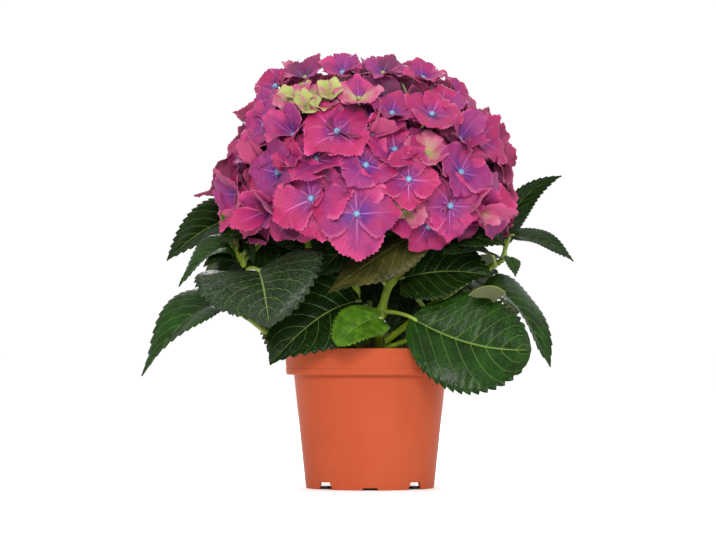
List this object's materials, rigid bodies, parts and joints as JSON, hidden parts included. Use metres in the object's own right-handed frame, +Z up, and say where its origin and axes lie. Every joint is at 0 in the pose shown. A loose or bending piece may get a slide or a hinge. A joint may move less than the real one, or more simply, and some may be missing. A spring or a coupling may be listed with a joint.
{
  "type": "potted hydrangea shrub",
  "caption": "Compact hydrangea in a round plastic grower's pot: broad toothed leaves under one dense dome of merged pink flower heads.",
  "frame": {"origin": "on the pot's axis, in the plane that the pot's foot and the boss under its floor stand on", "axes": "+Z up along the pot's axis, -Y out of the side with the large lowest leaf and the green stem in view, +X to that side's right"},
  "size_m": [0.344, 0.2618, 0.3554],
  "materials": {
    "pot_plastic": "satin moulded plastic, terracotta orange",
    "compost": "rough, moist dark brown potting compost",
    "woody_foot": "rough thin bark, grey brown",
    "green_stem": "smooth satin, yellow green",
    "leaf": "glossy above, matt and paler below",
    "sepal": "soft matt, magenta pink with paler rays"
  },
  "bodies": {
    "root": {"pot": "pot_plastic", "soil": "compost", "trunk": "woody_foot", "bough_front": "green_stem", "bough_right": "green_stem", "bough_left": "green_stem", "bough_back": "green_stem", "bough_side_left": "green_stem", "bough_side_right": "green_stem", "leaves_middle": "leaf", "leaves_front": "leaf", "leaves_left_low": "leaf", "leaves_left_high": "leaf", "leaves_right_low": "leaf", "leaves_right_high": "leaf", "leaves_back_left": "leaf", "leaves_back": "leaf", "leaves_back_right": "leaf", "head_front": "sepal", "head_right": "sepal", "head_left": "sepal", "head_back": "sepal"}
  },
  "joints": []
}
